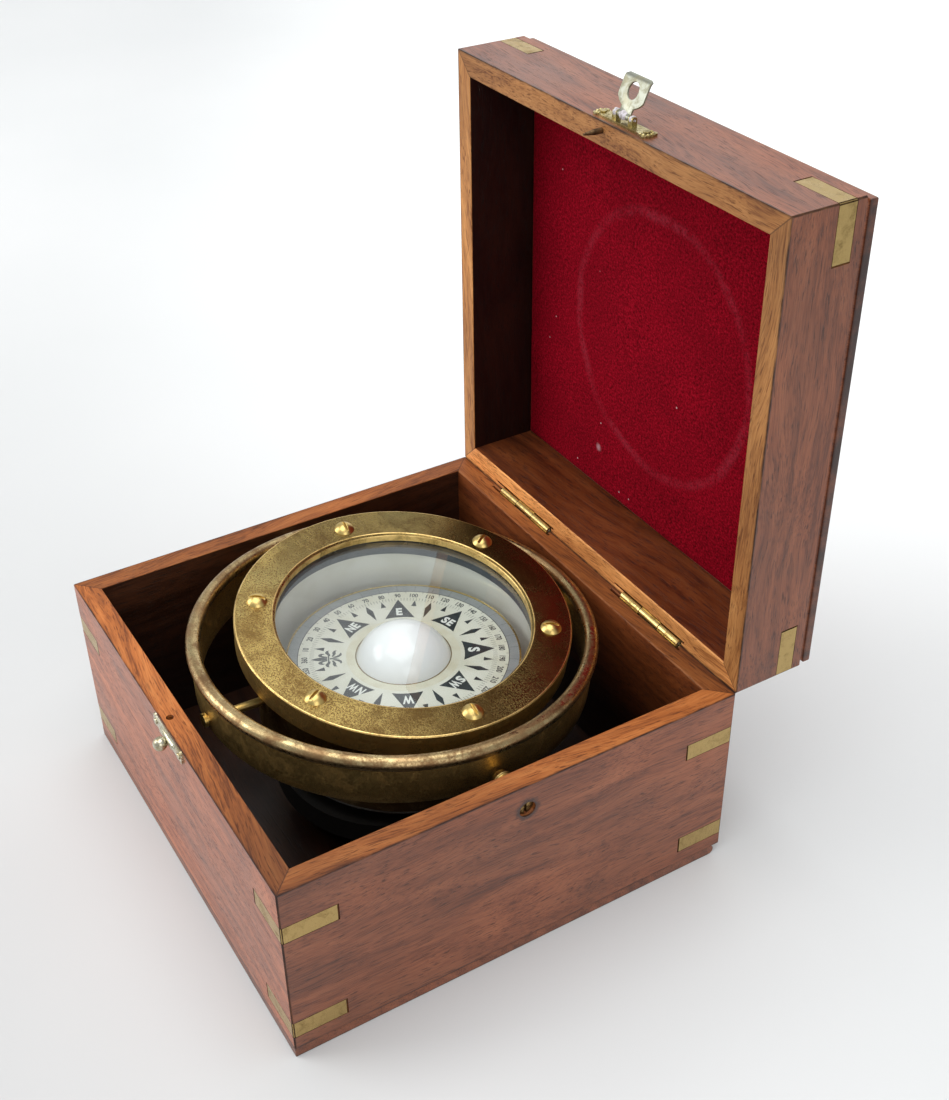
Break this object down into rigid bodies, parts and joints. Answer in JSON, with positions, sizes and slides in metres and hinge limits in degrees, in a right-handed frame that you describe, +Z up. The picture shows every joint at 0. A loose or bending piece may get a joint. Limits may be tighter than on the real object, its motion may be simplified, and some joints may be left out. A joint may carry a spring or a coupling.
{
  "type": "ship compass",
  "caption": "Gimballed ship's compass in a hinged wooden box: lid, latch, gimbal ring, liquid bowl and spinning card all move.",
  "frame": {"origin": "middle of the box's underside", "axes": "+Z up, +Y towards the hinges, +X to the right seen from the catch"},
  "size_m": [0.178, 0.2071, 0.2579],
  "materials": {
    "wood": "worn satin varnish",
    "velvet": "pile velvet",
    "brass": "aged satin",
    "pale_brass": "worn plating",
    "aged_brass": "coppery patina",
    "steel": "dull",
    "glass": "clear",
    "ivory": "glossy enamel",
    "gasket": "matt",
    "black_paint": "matt",
    "lead": "dull"
  },
  "bodies": {
    "box": {"bottom_board": "wood", "front_wall": "wood", "rear_wall": "wood", "left_wall": "wood", "right_wall": "wood", "lower_box_straps": "brass", "upper_box_straps": "brass", "catch_plate": "pale_brass", "catch_knob": "pale_brass", "catch_nails": "pale_brass", "left_hinge_box_leaf": "brass", "right_hinge_box_leaf": "brass", "left_hinge_pin": "steel", "right_hinge_pin": "steel", "box_hinge_nails": "brass", "left_pivot_screw": "brass", "right_pivot_screw": "brass", "pivot_lock_nuts": "brass"},
    "lid": {"lid_front_wall": "wood", "lid_rear_wall": "wood", "lid_left_wall": "wood", "lid_right_wall": "wood", "lid_top_board": "wood", "velvet_lining": "velvet", "lid_straps": "brass", "left_hinge_lid_leaf": "brass", "right_hinge_lid_leaf": "brass", "lid_hinge_nails": "brass", "locating_pin": "steel", "hasp_plate": "pale_brass", "hasp_nails": "pale_brass", "hasp_hinge_pin": "steel"},
    "hasp": {"hasp_tongue": "pale_brass"},
    "ring": {"gimbal_ring": "aged_brass", "front_bowl_pivot": "brass", "rear_bowl_pivot": "brass"},
    "bowl": {"bowl": "brass", "gasket": "gasket", "glass": "glass", "bezel": "brass", "bezel_screws": "brass", "pivot_post": "brass", "pivot_needle": "steel", "lubber_pin": "black_paint", "filler_plug": "brass", "ballast_weight": "lead", "ballast_screw": "brass", "expansion_diaphragm": "brass"},
    "card": {"compass_card": "ivory", "card_rim": "brass", "float_dome": "ivory", "jewel_cup": "brass", "magnet_bars": "steel"}
  },
  "joints": [
    {"name": "lid_hinge", "type": "hinge", "parent": "box", "child": "lid", "pos_m": [0, 0.08468, 0.07443], "axis": [1, 0, 0], "range_deg": [0, 90]},
    {"name": "hasp_hinge", "type": "hinge", "parent": "lid", "child": "hasp", "pos_m": [0.006, 0.0886, 0.24655], "axis": [1, 0, 0], "range_deg": [-50, 114]},
    {"name": "ring_gimbal", "type": "hinge", "parent": "box", "child": "ring", "pos_m": [0, 0.0018, 0.0642], "axis": [1, 0, 0], "range_deg": [-7, 13]},
    {"name": "bowl_gimbal", "type": "hinge", "parent": "ring", "child": "bowl", "pos_m": [0, 0.005, 0.06403], "axis": [0, 0.9986, -0.0523], "range_deg": [-16.1, 3.9]},
    {"name": "card_spin", "type": "hinge", "parent": "bowl", "child": "card", "pos_m": [0.00014, 0.00589, 0.06387], "axis": [-0.0052, 0.0157, 0.9999], "continuous": true}
  ]
}
